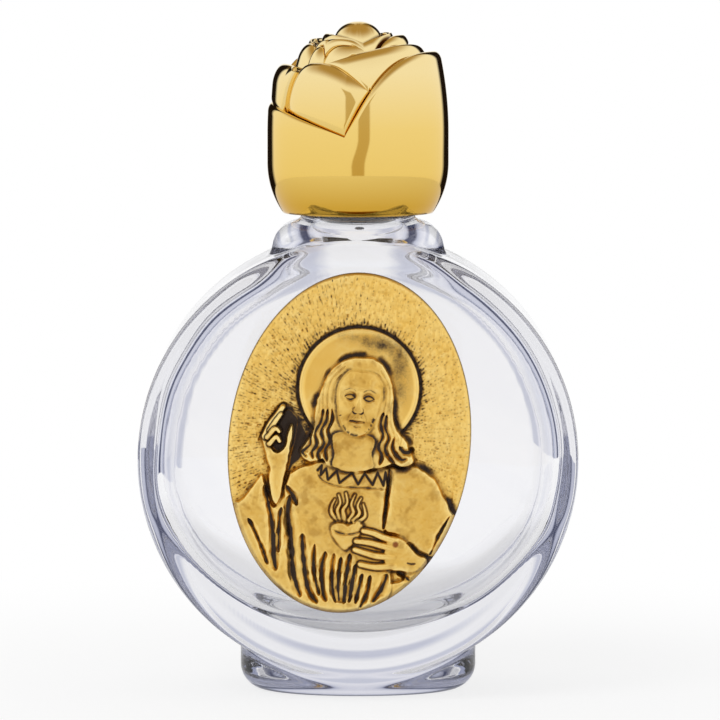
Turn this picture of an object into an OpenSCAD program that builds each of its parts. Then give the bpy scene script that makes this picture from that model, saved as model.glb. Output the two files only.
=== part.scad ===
// Holy water bottle.
// A round flat glass flask on an oval foot, with a screw cap in the form of a
// rose and an oval cast plaque glued on the front panel. Front is -Y, up is +Z.

/* [Flask body] */
// Diameter of the round body
body_d = 44; // [40:1:54]
// Thickness of the body from front panel to back panel
body_t = 20; // [19:0.5:26]
// Radius along the front and back edges of the rim
rim_r = 3; // [2:0.25:3.5]
// Glass thickness of the front and back panels
panel_wall = 2.4; // [1.8:0.1:3.2]
// Glass thickness at the rim
side_wall = 2.2; // [2:0.1:4]
// Rounding of the water chamber's edges along the rim
chamber_r = 2; // [1:0.25:4]
// Glass under the water chamber
floor_t = 4.4; // [3:0.2:6]
// Rounding of the chamber's edges along its floor
chamber_floor_r = 4.5; // [2:0.25:5]

/* [Foot] */
// Width of the oval foot
foot_w = 23.8; // [18:0.2:28]
// Depth of the oval foot
foot_d = 16; // [12:0.5:18]
// Height of the body's lowest point above the ground
foot_rise = 2; // [1.6:0.1:4]
// Radius of the foot's lower edge
foot_edge = 2.6; // [0.8:0.1:3]

/* [Shoulder and neck] */
// Diameter of the domed shoulder where it leaves the body
shoulder_d = 17.3; // [16:0.1:19]
// Upright wall under the dome
shoulder_step = 0.5; // [0.2:0.1:1]
// Height of the domed shoulder
shoulder_h = 2.95; // [2.5:0.05:5]
// Diameter of the neck at the root of its thread
neck_d = 11.2; // [10:0.1:11.6]
// Height of the neck inside the cap
neck_h = 8.6; // [7:0.2:9.4]
// Diameter of the mouth bore
bore_d = 7.8; // [6:0.1:8.2]
// Radius of the lip's edges
lip_r = 0.5; // [0.2:0.05:0.7]

/* [Cap] */
// Greatest diameter of the rose
rose_d = 18.26; // [17.6:0.02:22]
// Height of the rose cap
rose_h = 19.15; // [18.6:0.05:24]
// Diameter of the rose's lower edge
rose_base_d = 15.2; // [15:0.1:16.6]
// Gap between shoulder top and the rose's lower edge
cap_gap = 0.7; // [0.2:0.1:1]
// Room for the thread between neck and sleeve
thread_room = 0.65; // [0.5:0.05:0.8]
// Wall of the threaded sleeve
sleeve_wall = 0.7; // [0.5:0.05:0.8]
// Thickness of the sleeve's closed top
sleeve_top_t = 1.2; // [0.8:0.1:1.6]
// Height of the sleeve's lower edge above the rose's lower edge
sleeve_recess = 0.6; // [0.3:0.1:1.5]
// Play between sleeve and rose shell
sleeve_fit = 0.03; // [0.02:0.01:0.08]
// Thickness of the sealing liner
liner_t = 1.2; // [0.8:0.1:1.6]
// Play between liner and sleeve
liner_gap = 0.15; // [0.1:0.05:0.3]

/* [Plaque] */
// Length of the oval plaque
plaque_h = 34; // [26:0.5:35]
// Width of the oval plaque
plaque_w = 24; // [18:0.5:28]
// Thickness of the plaque's ground
plaque_t = 0.9; // [0.6:0.1:1.4]
// Greatest height of the relief above the ground
relief_h = 1; // [0.6:0.1:1.4]
// Rounding of the plaque's front edge
plaque_edge = 0.4; // [0.2:0.05:0.5]
// Plaque centre to the side of the body's centre
plaque_x = -0.85; // [-2:0.05:2]
// Plaque centre above the body's centre
plaque_up = 2.15; // [-1:0.05:2.5]
// Lean of the plaque's long axis
plaque_lean = 6.4; // [0:0.2:8]
// Thickness of the adhesive pad
pad_t = 0.2; // [0.1:0.05:0.4]
// Distance of the pad's edge inside the plaque's edge
pad_inset = 0.8; // [0.4:0.1:1.6]

/* [Hidden] */
$fn = 96;
OVER = 1;
SKIN = 0.01;
// Share of an oval's short side that its end arcs take as their radius
OVAL_END = 0.385;
FOOT_ROWS = 4;
// Radius of the chamber floor as a multiple of the chamber's own
FLOOR_BOW = 1.34;
body_r = body_d / 2;
body_z = foot_rise + body_r;
shoulder_r = shoulder_d / 2;
shoulder_z = body_z + sqrt(body_r * body_r - shoulder_r * shoulder_r) + shoulder_step;
neck_r = neck_d / 2;
cap_z = shoulder_z + shoulder_h + cap_gap;
rim_z = cap_z + neck_h;
liner_z = rim_z + liner_t;
sleeve_bore_r = neck_r + thread_room;
sleeve_r = sleeve_bore_r + sleeve_wall;
sleeve_top_z = liner_z + sleeve_top_t;
panel_y = -body_t / 2;

ROSE_COLUMNS = 96;
CUP_ROWS = 6;
PETAL_ROWS = 4;
BUD_ROWS = 4;
// Share of a petal's swell that leaves its ring at the ring's own radius
SWELL_LEVEL = 0.95;
// Sweep of the bud's dome in degrees
BUD_SWEEP = 80;
rose_r = rose_d / 2;
belly_h = 5;
cup_drop = rose_r - rose_base_d / 2;
cup_arc_r = (cup_drop * cup_drop + belly_h * belly_h) / (2 * cup_drop);
petal_root = 8;
// Rounding behind a petal's edge, and depth and play of the groove to the next ring
petal_lip = 0.3;
petal_groove = 0.8;
petal_gap = 0.08;
// Height over which a petal bulges out above the edge in front of it
bulge_h = 1.1;
// Height of free petal, in heights of its roll, that lets its tip roll in fully
FREE_ROLLS = 3;
bud_r = 2.3;
bud_flat_r = 0.1;

// Half outline of a disc with rounded edges, to be turned about its own axis.
module disc_outline(r, half_t, edge) {
    translate([0, -half_t]) square([r - edge, 2 * half_t]);
    translate([0, edge - half_t]) square([r, 2 * (half_t - edge)]);
    for (s = [-1, 1])
        translate([r - edge, s * (half_t - edge)]) circle(edge);
}

// Disc with rounded edges, its axis along Y.
module round_disc(r, half_t, edge) {
    rotate([90, 0, 0])
        rotate_extrude()
            intersection() {
                disc_outline(r, half_t, edge);
                translate([0, -half_t]) square([r, 2 * half_t]);
            }
}

// Oval drawn with four arcs.
module oval(w, h) {
    end_r = min(w, h) * OVAL_END;
    end_off = max(w, h) / 2 - end_r;
    half_min = min(w, h) / 2;
    side_r = (end_off * end_off + half_min * half_min - end_r * end_r) / (2 * (half_min - end_r));
    meet = end_off * side_r / (side_r - end_r);
    rotate(w > h ? 90 : 0) {
        for (s = [-1, 1])
            translate([0, s * end_off]) circle(end_r);
        intersection() {
            translate([side_r - half_min, 0]) circle(side_r);
            translate([half_min - side_r, 0]) circle(side_r);
            square([4 * half_min, 2 * meet], center = true);
        }
    }
}

// Oval foot with a rounded lower edge and a flat underside.
module foot() {
    foot_top = body_z - sqrt(body_r * body_r - foot_w * foot_w / 4) + OVER;
    hull()
        for (a = [0:90 / FOOT_ROWS:90]) {
            inset = 2 * foot_edge * (1 - sin(a));
            top = a < 90 ? SKIN : foot_top - foot_edge;
            translate([0, 0, foot_edge * (1 - cos(a))])
                linear_extrude(top) oval(foot_w - inset, foot_d - inset);
        }
}

// Domed shoulder and neck, turned about the bottle's axis.
module shoulder_and_neck() {
    rotate_extrude()
        intersection() {
            union() {
                translate([0, body_z]) square([shoulder_r, shoulder_z - body_z]);
                translate([shoulder_r - shoulder_h, shoulder_z]) circle(shoulder_h);
                translate([0, body_z]) square([neck_r, rim_z - lip_r - body_z]);
                translate([0, body_z]) square([neck_r - lip_r, rim_z - body_z]);
                translate([neck_r - lip_r, rim_z - lip_r]) circle(lip_r);
            }
            translate([0, body_z]) square([body_r, rim_z]);
        }
}

// Water chamber: a rounded disc over a flatter floor, open into the mouth.
module chamber() {
    chamber_rad = body_r - side_wall;
    half_t = body_t / 2 - panel_wall;
    floor_r = chamber_rad * FLOOR_BOW;
    intersection() {
        translate([0, 0, body_z]) round_disc(chamber_rad, half_t, chamber_r);
        translate([0, 0, foot_rise + floor_t + floor_r]) round_disc(floor_r, half_t, chamber_floor_r);
    }
    translate([0, 0, body_z]) cylinder(h = rim_z - body_z + OVER, d = bore_d);
}

// Blown clear glass bottle with its neck, foot and chamber.
module glass_flask() {
    color([0.86, 0.90, 0.92, 0.5])
        difference() {
            union() {
                translate([0, 0, body_z]) round_disc(body_r, body_t / 2, rim_r);
                foot();
                shoulder_and_neck();
            }
            chamber();
        }
}

// Rings of petals from the outside inwards. Each ring is [radius, inward bend,
// swell of a petal's middle, roll of its tip, height of the roll, petals]; each
// petal is [direction, left half angle, right half angle, tip height, height of
// its sides, left fullness, right fullness]. Heights are shares of the rose's
// height, the rest of its radius. Direction 0 is the front, 90 the right.
ROSE = [
    [1.000, 0.542, 0.055, 0.055, 0.042, [
        [70, 79, 77, 0.849, 0.415, 3.1, 3.1],
        [-115, 72, 106, 0.585, 0.415, 2.0, 2.0],
        [162, 56, 50, 0.742, 0.415, 2.2, 2.2]
    ]],
    [0.969, 0.341, 0.088, 0.142, 0.104, [
        [-30, 33, 56, 0.796, 0.486, 3.8, 1.85],
        [140, 50, 44, 0.773, 0.501, 2.6, 2.6],
        [-165, 42, 40, 0.752, 0.501, 2.4, 2.4]
    ]],
    [0.964, 0.341, 0.055, 0.164, 0.110, [
        [-83, 44, 52, 0.781, 0.548, 3.2, 3.6],
        [115, 50, 44, 0.794, 0.548, 2.6, 2.6],
        [-175, 44, 46, 0.804, 0.548, 2.6, 2.6]
    ]],
    [0.926, 0.960, 0.055, 0.066, 0.042, [
        [50, 95, 60, 0.888, 0.747, 1.8, 2.5],
        [150, 55, 50, 0.862, 0.747, 2.4, 2.4],
        [-140, 45, 40, 0.836, 0.747, 2.4, 2.4]
    ]],
    [0.783, 0.803, 0.066, 0.120, 0.068, [
        [-10, 32, 26, 0.880, 0.783, 3.2, 3.0],
        [-48, 14, 12, 0.875, 0.783, 2.5, 2.5],
        [-82, 30, 26, 0.885, 0.783, 3.6, 3.6],
        [88, 44, 40, 0.883, 0.783, 2.6, 2.6],
        [165, 46, 44, 0.872, 0.783, 2.6, 2.6],
        [-135, 34, 36, 0.872, 0.783, 2.6, 2.6]
    ]],
    [0.723, 0.699, 0.055, 0.088, 0.042, [
        [-25, 40, 36, 0.916, 0.846, 3.0, 3.0],
        [68, 44, 42, 0.932, 0.846, 3.0, 3.0],
        [150, 44, 42, 0.914, 0.846, 2.6, 2.6],
        [-118, 54, 52, 0.909, 0.846, 2.6, 2.6]
    ]],
    [0.537, 0.594, 0.044, 0.066, 0.031, [
        [-75, 88, 84, 0.937, 0.893, 2.2, 2.2],
        [95, 84, 98, 0.943, 0.893, 2.2, 2.2]
    ]]
];

// Angle between two directions, from -180 to 180.
function turn(a) = a - 360 * floor((a + 180) / 360);

// Share of the way from a petal's middle to its side, 0 to 1.
function across(p, az) = let (d = turn(az - p[0])) min(1, abs(d) / (d < 0 ? p[1] : p[2]));

// Height of one petal's free edge, and of a whole ring's, in a direction.
function petal_edge(p, az) =
    let (fullness = turn(az - p[0]) < 0 ? p[5] : p[6])
    rose_h * (p[4] + (p[3] - p[4]) * (1 - pow(across(p, az), fullness)));
function ring_edge(ring, az) = max([for (p = ring[5]) petal_edge(p, az)]);

// Swell of the petal that stands highest in a direction.
function ring_swell(ring, az) =
    let (edge = ring_edge(ring, az))
    max([for (p = ring[5]) petal_edge(p, az) > edge - SKIN ? 1 - pow(across(p, az), 2) : 0]);

// Value held between 0 and 1, and the fall of a quarter round from 1 to 0.
function unit(t) = min(1, max(0, t));
function quarter(t) = sqrt(1 - pow(unit(t), 2));

// Radius of a face that stands behind the ring outside it: inside that ring's
// wall up to its edge, and bulging to its own full radius above the edge.
function behind(full, h, above, wall) =
    let (held = min(full, wall - petal_gap))
    held + (full - held) * quarter(1 - (h - above) / bulge_h);

// Radius of a ring's face in a direction and at a height, up to the face's edge.
function face_radius(ring, az, h, edge, above, wall) =
    let (
        roll_h = ring[4] * rose_h,
        free = unit((edge - max(above, petal_root)) / (FREE_ROLLS * roll_h)),
        swell = ring[2] * (ring_swell(ring, az) - SWELL_LEVEL) * unit((h - belly_h) / (petal_root - belly_h)),
        lean = ring[1] * pow(max(0, h - petal_root) / rose_h, 2),
        roll = ring[3] * free * (1 - quarter(1 - (edge - h) / roll_h))
    )
    behind(rose_r * (ring[0] + swell - lean - roll), h, above, wall);

// Outline of the petals above the cup in one direction: up each ring's face,
// round its edge and down the groove to the next ring, as [radius, height].
function petal_points(k, az, start, above, wall) =
    k == len(ROSE) ? bud_points(start, above, wall) :
    let (
        edge = max(ring_edge(ROSE[k], az), start + petal_lip),
        crest_r = face_radius(ROSE[k], az, edge, edge, above, wall),
        groove = max(edge - petal_groove, start + petal_lip / 2)
    )
    concat(
        [for (i = [0:PETAL_ROWS])
            let (h = start + (edge - start) * sin(90 * i / PETAL_ROWS))
            [face_radius(ROSE[k], az, h, edge, above, wall), h]],
        [
            for (a = [45, 90])
                [crest_r - petal_lip * sin(a), edge - petal_lip * (1 - cos(a))]
        ],
        petal_points(k + 1, az, groove, edge, crest_r - petal_lip)
    );

// Closed bud in the middle.
function bud_points(start, above, wall) = [
    for (i = [0:BUD_ROWS])
        let (a = BUD_SWEEP * i / BUD_ROWS, h = start + (rose_h - start) * sin(a))
        [behind(bud_r * cos(a) + bud_flat_r, h, above, wall), h]
];

// Rounded cup under the petals, from its lower edge to its belly.
function cup_points() = [
    for (i = [0:CUP_ROWS - 1])
        let (h = belly_h * i / CUP_ROWS)
        [sqrt(cup_arc_r * cup_arc_r - pow(belly_h - h, 2)) - cup_arc_r + rose_r, h]
];

// Gold rose: a cup and seven rings of petals round a bud.
module rose_form() {
    columns = [
        for (c = [0:ROSE_COLUMNS - 1])
            let (az = 360 * c / ROSE_COLUMNS, petals = petal_points(0, az, belly_h, belly_h, rose_d))
            [for (q = concat(cup_points(), petals)) [q[0] * sin(az), -q[0] * cos(az), q[1]]]
    ];
    rows = len(columns[0]);
    top = ROSE_COLUMNS * rows;
    points = concat([for (c = columns) each c], [[0, 0, rose_h]]);
    sides = [
        for (c = [0:ROSE_COLUMNS - 1], j = [0:rows - 2])
            let (n = (c + 1) % ROSE_COLUMNS, p = c * rows + j, q = n * rows + j)
            each [[p, p + 1, q + 1], [p, q + 1, q]]
    ];
    crown = [
        for (c = [0:ROSE_COLUMNS - 1])
            let (n = (c + 1) % ROSE_COLUMNS)
            [c * rows + rows - 1, top, n * rows + rows - 1]
    ];
    base = [[for (c = [0:ROSE_COLUMNS - 1]) c * rows]];
    polyhedron(points, concat(sides, crown, base), convexity = 10);
}

// Metallised shell of the cap with the blind bore for the sleeve.
module rose_shell() {
    color([0.83, 0.66, 0.28])
        translate([0, 0, cap_z])
            difference() {
                rose_form();
                translate([0, 0, -OVER])
                    cylinder(h = sleeve_top_z - cap_z + OVER, r = sleeve_r + sleeve_fit);
            }
}

// Screw sleeve of the cap, open below.
module cap_insert() {
    color([0.93, 0.92, 0.88])
        difference() {
            translate([0, 0, cap_z + sleeve_recess])
                cylinder(h = sleeve_top_z - cap_z - sleeve_recess, r = sleeve_r);
            translate([0, 0, cap_z])
                cylinder(h = liner_z - cap_z, r = sleeve_bore_r);
        }
}

// Sealing disc that rests on the glass rim.
module cap_liner() {
    color([0.95, 0.95, 0.93])
        translate([0, 0, rim_z])
            cylinder(h = liner_t, r = sleeve_bore_r - liner_gap);
}

// Place on the front panel; local Z points out of the panel.
module on_panel(stand_off) {
    translate([plaque_x, panel_y - stand_off, body_z + plaque_up])
        rotate([0, plaque_lean, 0])
            rotate([90, 0, 0])
                children();
}

// Outlines of the relief as shares of the plaque's half width and half height.
ROBE = [
    [-1.05, -0.46], [-0.85, -0.40], [-0.78, -0.32], [-0.68, -0.24], [-0.62, -0.34], [-0.57, -0.41],
    [-0.52, -0.36], [-0.50, -0.28], [-0.45, -0.20], [-0.38, -0.16], [-0.20, -0.12], [0.12, -0.15],
    [0.35, -0.11], [0.55, -0.08], [0.63, -0.11], [0.74, -0.15], [0.79, -0.21], [0.86, -0.28],
    [0.92, -0.35], [1.07, -0.41], [1.07, -1.06], [-1.05, -1.06]
];
HAIR = [
    [-0.06, 0.51], [-0.13, 0.48], [-0.20, 0.44], [-0.25, 0.39], [-0.28, 0.33], [-0.30, 0.28],
    [-0.32, 0.21], [-0.32, 0.14], [-0.31, 0.08], [-0.33, 0.02], [-0.37, -0.02], [-0.40, -0.07],
    [-0.37, -0.11], [-0.32, -0.13], [-0.21, -0.11], [-0.10, -0.15], [0.05, -0.15], [0.20, -0.14],
    [0.34, -0.10], [0.44, -0.11], [0.51, -0.09], [0.54, -0.06], [0.52, -0.02], [0.47, 0.05],
    [0.42, 0.09], [0.37, 0.14], [0.33, 0.19], [0.33, 0.26], [0.32, 0.32], [0.29, 0.39],
    [0.25, 0.45], [0.19, 0.49], [0.11, 0.52], [0.02, 0.52]
];
RAISED_HAND = [
    [-0.72, -0.01], [-0.64, -0.25], [-0.55, -0.40], [-0.50, -0.26], [-0.47, 0.02], [-0.50, 0.08],
    [-0.53, -0.04], [-0.58, -0.08], [-0.60, 0.05], [-0.56, 0.16], [-0.60, 0.17], [-0.66, 0.08]
];
HEART = [
    [-0.08, -0.50], [-0.06, -0.54], [-0.02, -0.58], [0.05, -0.62], [0.12, -0.58], [0.17, -0.53],
    [0.19, -0.48], [0.16, -0.45], [0.10, -0.45], [0.06, -0.47], [0.02, -0.45], [-0.04, -0.46]
];
LAID_HAND = [
    [0.40, -0.50], [0.21, -0.49], [0.17, -0.55], [0.16, -0.62], [0.20, -0.70], [0.38, -0.71],
    [0.53, -0.71], [0.63, -0.71], [0.74, -0.66], [0.73, -0.61], [0.65, -0.59], [0.57, -0.53],
    [0.49, -0.50]
];
// Rounds of the relief: place as shares like the outlines, diameter as a share of the half width.
HALO = [0.03, 0.33, 0.99];
FACE = [0.04, 0.28, 0.40];
JAW = [0.04, 0.15, 0.27];
// Heights of the masses as shares of the whole relief.
HALO_RISE = 0.16;
ROBE_RISE = 0.5;
HAIR_RISE = 0.72;
HAND_RISE = 0.8;
HEART_RISE = 0.88;

// A flat mass that stands on the plaque's ground.
module mass(share) {
    translate([0, 0, plaque_t - plaque_edge])
        linear_extrude(plaque_edge + relief_h * share) children();
}

// Outline given in shares, drawn at the plaque's size.
module shape(outline) {
    polygon([for (p = outline) [p[0] * plaque_w / 2, p[1] * plaque_h / 2]]);
}

// Round given in shares, drawn at the plaque's size.
module disc(round) {
    translate([round[0] * plaque_w / 2, round[1] * plaque_h / 2]) circle(d = round[2] * plaque_w / 2);
}

// Bust in a robe with its halo, one hand raised and one laid by the heart.
module relief() {
    mass(HALO_RISE) disc(HALO);
    mass(ROBE_RISE)
        intersection() {
            oval(plaque_w - 3 * plaque_edge, plaque_h - 3 * plaque_edge);
            shape(ROBE);
        }
    mass(HAIR_RISE) shape(HAIR);
    mass(1) {
        disc(FACE);
        disc(JAW);
    }
    mass(HAND_RISE) shape(RAISED_HAND);
    mass(HEART_RISE) shape(HEART);
    mass(HAND_RISE) shape(LAID_HAND);
}

// Cast oval plaque with a stepped edge and its relief.
module plaque() {
    color([0.72, 0.56, 0.22])
        on_panel(pad_t) {
            linear_extrude(plaque_t - plaque_edge) oval(plaque_w, plaque_h);
            linear_extrude(plaque_t) oval(plaque_w - plaque_edge, plaque_h - plaque_edge);
            relief();
        }
}

// Adhesive pad between plaque and glass.
module plaque_adhesive() {
    color([0.9, 0.9, 0.88])
        on_panel(0)
            linear_extrude(pad_t) oval(plaque_w - 2 * pad_inset, plaque_h - 2 * pad_inset);
}

glass_flask();
rose_shell();
cap_insert();
cap_liner();
plaque();
plaque_adhesive();
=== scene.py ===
# Holy water bottle: a round flat glass flask with a rose screw cap and a cast plaque.
import math

import bpy
import numpy as np
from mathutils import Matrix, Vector


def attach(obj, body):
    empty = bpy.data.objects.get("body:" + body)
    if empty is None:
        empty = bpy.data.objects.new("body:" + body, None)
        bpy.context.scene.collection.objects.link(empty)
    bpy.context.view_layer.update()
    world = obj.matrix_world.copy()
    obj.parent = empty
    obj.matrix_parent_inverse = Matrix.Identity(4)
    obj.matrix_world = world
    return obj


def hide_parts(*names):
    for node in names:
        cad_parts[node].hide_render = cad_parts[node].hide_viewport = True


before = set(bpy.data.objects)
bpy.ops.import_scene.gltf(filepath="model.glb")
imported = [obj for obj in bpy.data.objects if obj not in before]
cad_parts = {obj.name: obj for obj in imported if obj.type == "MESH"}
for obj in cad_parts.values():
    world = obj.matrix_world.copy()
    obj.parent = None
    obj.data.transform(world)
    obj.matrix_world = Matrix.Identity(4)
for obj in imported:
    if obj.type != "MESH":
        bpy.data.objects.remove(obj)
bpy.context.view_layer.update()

# Glass flask: one bottle of clear flint glass, blown in a two-part mould, with a thick
# floor, an oval foot, a domed shoulder and a threaded neck. Everything else is fixed to it.
# Sizes are in millimetres, and MM turns them to Blender's metres.
MM = 0.001
BODY_R, BODY_HALF, BODY_Z, RIM_R = 22.0, 10.0, 24.0, 3.0
FOOT_W, FOOT_D, FOOT_EDGE, FOOT_TOP, FOOT_FILLET = 23.8, 16.0, 2.6, 8.0, 1.1
SHOULDER_R, SHOULDER_Z, SHOULDER_H, SHOULDER_FILLET = 8.65, 44.728, 2.95, 0.9
NECK_R, NECK_FOOT, NECK_FILLET, RIM_Z, LIP_R = 5.6, 48.6, 0.9, 56.978, 0.5
CHAMBER_R, CHAMBER_HALF, CHAMBER_EDGE = 19.8, 7.6, 2.0
CHAMBER_FLOOR, FLOOR_ARC, FLOOR_EDGE, FLOOR_FILLET = 6.4, 26.6, 4.5, 2.5
BORE_R, BORE_FOOT, NECK_FLARE = 3.9, 45.5, 8.0
WAVE_H, RIPPLE_H, STREAK_H = 0.05, 0.03, 0.03
THREAD_LEAD, THREAD_TURNS, THREAD_START, THREAD_RISE, THREAD_HALF = 3.0, 2.0, 49.9, 0.5, 0.62


def rounded(qx, qy, edge):
    # Distance to a box corner rounded with radius edge; qx and qy are distances to its faces.
    out = np.hypot(np.maximum(qx + edge, 0), np.maximum(qy + edge, 0))
    return out + np.minimum(np.maximum(qx + edge, qy + edge), 0) - edge


def blended(a, b, fillet):
    # Union of two distances with a fillet of about that radius between them.
    h = np.maximum(fillet - np.abs(a - b), 0) / fillet
    return np.minimum(a, b) - h * h * fillet * 0.25


def off_oval(x, y, wide, deep):
    # Distance outside an oval of that width and depth.
    share = np.hypot(x / (wide / 2), y / (deep / 2))
    slope = np.hypot(x / (wide / 2) ** 2, y / (deep / 2) ** 2) + 1e-9
    return share * (share - 1) / slope


def flask_outside(x, y, z):
    # Distance to the outside of the glass: the round flat body with its foot, shoulder and neck.
    ring = np.hypot(x, z - BODY_Z)
    disc = rounded(ring - BODY_R, np.abs(y) - BODY_HALF, RIM_R)
    foot = rounded(off_oval(x, y, FOOT_W, FOOT_D), np.abs(z - FOOT_TOP / 2) - FOOT_TOP / 2, FOOT_EDGE)
    out = np.hypot(x, y)
    wall = np.maximum(out - SHOULDER_R, np.maximum(z - SHOULDER_Z, BODY_Z - z))
    dome = np.hypot(np.maximum(out - SHOULDER_R + SHOULDER_H, 0), z - SHOULDER_Z) - SHOULDER_H
    neck = np.maximum(out - NECK_R, np.maximum(z - RIM_Z, BODY_Z - z))
    top = blended(np.minimum(wall, dome), neck, NECK_FILLET)
    return blended(blended(disc, foot, FOOT_FILLET), top, SHOULDER_FILLET)


def flask_inside(x, y, z):
    # Distance to the water chamber: a flat round over an arched floor, with the neck flaring into it.
    # Blown glass is slightly wavy inside, and faint streaks run along the rim.
    ring = np.hypot(x, z - BODY_Z)
    disc = rounded(ring - CHAMBER_R, np.abs(y) - CHAMBER_HALF, CHAMBER_EDGE)
    arc = np.hypot(x, z - CHAMBER_FLOOR - FLOOR_ARC)
    floor = rounded(arc - FLOOR_ARC, np.abs(y) - CHAMBER_HALF, FLOOR_EDGE)
    chamber = -blended(-disc, -floor, FLOOR_FILLET)
    bore = np.maximum(np.hypot(x, y) - BORE_R, BODY_Z - z)
    waves = WAVE_H * np.sin(x * 0.31 + 1.1) * np.sin(z * 0.27 + 0.4) + RIPPLE_H * np.sin(z * 0.6 + x * 0.4)
    near_edge = np.clip((ring - 16.0) / 2.0, 0, 1) * np.clip((z - 14.0) / 6.0, 0, 1)
    wander = 0.9 * np.sin(x * 0.21 + 0.6) + 0.7 * np.sin(z * 0.17)
    streaks = STREAK_H * near_edge * np.sin(ring * 5.2 + wander)
    return blended(chamber + waves + streaks, bore, NECK_FLARE)


def reach(distance, ways):
    # How far each direction runs from the body's centre before it leaves the form, by halving the span.
    near, far = np.zeros(ways.shape[:-1]), np.full(ways.shape[:-1], 60.0)
    for _ in range(40):
        mid = (near + far) / 2
        inside = distance(ways[..., 0] * mid, ways[..., 1] * mid, ways[..., 2] * mid + BODY_Z) < 0
        near, far = np.where(inside, mid, near), np.where(inside, far, mid)
    return near


def skinned(name, points, faces):
    # A smooth piece from points in millimetres.
    mesh = bpy.data.meshes.new(name)
    mesh.from_pydata((points * MM).tolist(), [], faces)
    mesh.polygons.foreach_set("use_smooth", [True] * len(mesh.polygons))
    mesh.update()
    piece = bpy.data.objects.new(name, mesh)
    bpy.context.collection.objects.link(piece)
    return piece


def grid_mesh(name, rings):
    # Skins rings of points, all with the same count, into one piece; each end closes to a point.
    rows, columns = rings.shape[:2]
    j, i = np.meshgrid(np.arange(rows - 1), np.arange(columns), indexing="ij")
    n = (i + 1) % columns
    faces = np.stack([j * columns + i, j * columns + n, (j + 1) * columns + n, (j + 1) * columns + i], -1)
    faces = [tuple(f) for f in faces.reshape(-1, 4).tolist()]
    last, low, high = (rows - 1) * columns, rows * columns, rows * columns + 1
    for c in range(columns):
        d = (c + 1) % columns
        faces.append((low, d, c))
        faces.append((high, last + c, last + d))
    points = np.concatenate([rings.reshape(-1, 3), rings[0].mean(0)[None], rings[-1].mean(0)[None]])
    return skinned(name, points, faces)


COLUMNS = 360
bearing = np.linspace(0, 2 * math.pi, COLUMNS, endpoint=False)


def thread_bead(height, start, turns, width):
    # Rise of a helical bead, 0 to 1, that fades in and out over a sixth of a turn at its ends.
    climb = (height[:, None] - start) / THREAD_LEAD - bearing / (2 * math.pi)
    turn = np.round(climb)
    along = turn + bearing / (2 * math.pi)
    fade = np.clip((along + 0.02) * 6, 0, 1) * np.clip((turns - along) * 6, 0, 1)
    return fade * np.exp(-(((climb - turn) * THREAD_LEAD / width) ** 4))


def star_rings(distance, low, high, rows):
    # Rings on a form, seen from the body's centre at slopes from low to high, in degrees.
    slope = np.radians(np.linspace(low, high, rows))[:, None]
    ways = np.stack([np.cos(slope) * np.cos(bearing), np.cos(slope) * np.sin(bearing),
                     np.broadcast_to(np.sin(slope), (rows, COLUMNS))], -1)
    return ways * reach(distance, ways)[..., None] + np.array([0, 0, BODY_Z])


def round_rings(radius, height):
    # Level rings about the neck's axis.
    radius = np.broadcast_to(np.asarray(radius), (len(height), COLUMNS))
    height = np.broadcast_to(np.asarray(height)[:, None], (len(height), COLUMNS))
    return np.stack([radius * np.cos(bearing), radius * np.sin(bearing), height], -1)


STEEPEST = -89.6
neck_slope = math.degrees(math.atan2(NECK_FOOT - BODY_Z, NECK_R))
bore_slope = math.degrees(math.atan2(BORE_FOOT - BODY_Z, BORE_R))
outer = star_rings(flask_outside, STEEPEST, neck_slope, 380)
neck_z = np.linspace(NECK_FOOT + 0.1, RIM_Z - LIP_R, 104)
thread = thread_bead(neck_z, THREAD_START, THREAD_TURNS, THREAD_HALF)
neck = round_rings(NECK_R + THREAD_RISE * thread, neck_z)
arc = np.radians(np.linspace(0, 90, 7))[1:]
lip_out = round_rings((NECK_R - LIP_R + LIP_R * np.cos(arc))[:, None], RIM_Z - LIP_R + LIP_R * np.sin(arc))
lip_in = round_rings((BORE_R + LIP_R - LIP_R * np.sin(arc))[:, None], RIM_Z - LIP_R + LIP_R * np.cos(arc))
bore = round_rings(BORE_R, np.linspace(RIM_Z - LIP_R - 0.3, BORE_FOOT + 0.3, 40))
inner = star_rings(flask_inside, STEEPEST, bore_slope, 260)[::-1]
flask = grid_mesh("flask", np.concatenate([outer, neck, lip_out, lip_in, bore, inner]))


def linear(code):
    # sRGB hex to linear colour.
    parts = [int(code[i : i + 2], 16) / 255 for i in (1, 3, 5)]
    return [c / 12.92 if c <= 0.04045 else ((c + 0.055) / 1.055) ** 2.4 for c in parts] + [1.0]


def add(tree, kind, settings=(), links=()):
    # Adds a node with its options, its inputs ("in:" and the socket's name or number), the stops of its
    # colour ramp, and links from other nodes' outputs to its inputs.
    node = tree.nodes.new(kind)

    def socket(key):
        return node.inputs[int(key) if key.isdigit() else key]

    for key, value in dict(settings).items():
        if key.startswith("in:"):
            socket(key[3:]).default_value = value
        elif key == "stops":
            while len(node.color_ramp.elements) < len(value):
                node.color_ramp.elements.new(0.5)
            for stop, (position, code) in zip(node.color_ramp.elements, value):
                stop.position = position
                stop.color = linear(code)
        else:
            setattr(node, key, value)
    for key, source in dict(links).items():
        tree.links.new(source, socket(key))
    return node


def new_material(name, settings=()):
    # A material with values on its shader's own sockets, and the place on the piece for its patterns.
    material = bpy.data.materials.new(name)
    material.use_nodes = True
    tree = material.node_tree
    shader = tree.nodes["Principled BSDF"]
    for socket, value in dict(settings).items():
        shader.inputs[socket].default_value = value
    return material, tree, shader, add(tree, "ShaderNodeTexCoord").outputs["Object"]


def dress(piece, material, body, slot, *nodes):
    # Gives a piece its material and the body that carries it, and hides the CAD nodes that it stands for.
    # Its slot is not used.
    piece.data.materials.append(material)
    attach(piece, body)
    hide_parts(*nodes)


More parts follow.
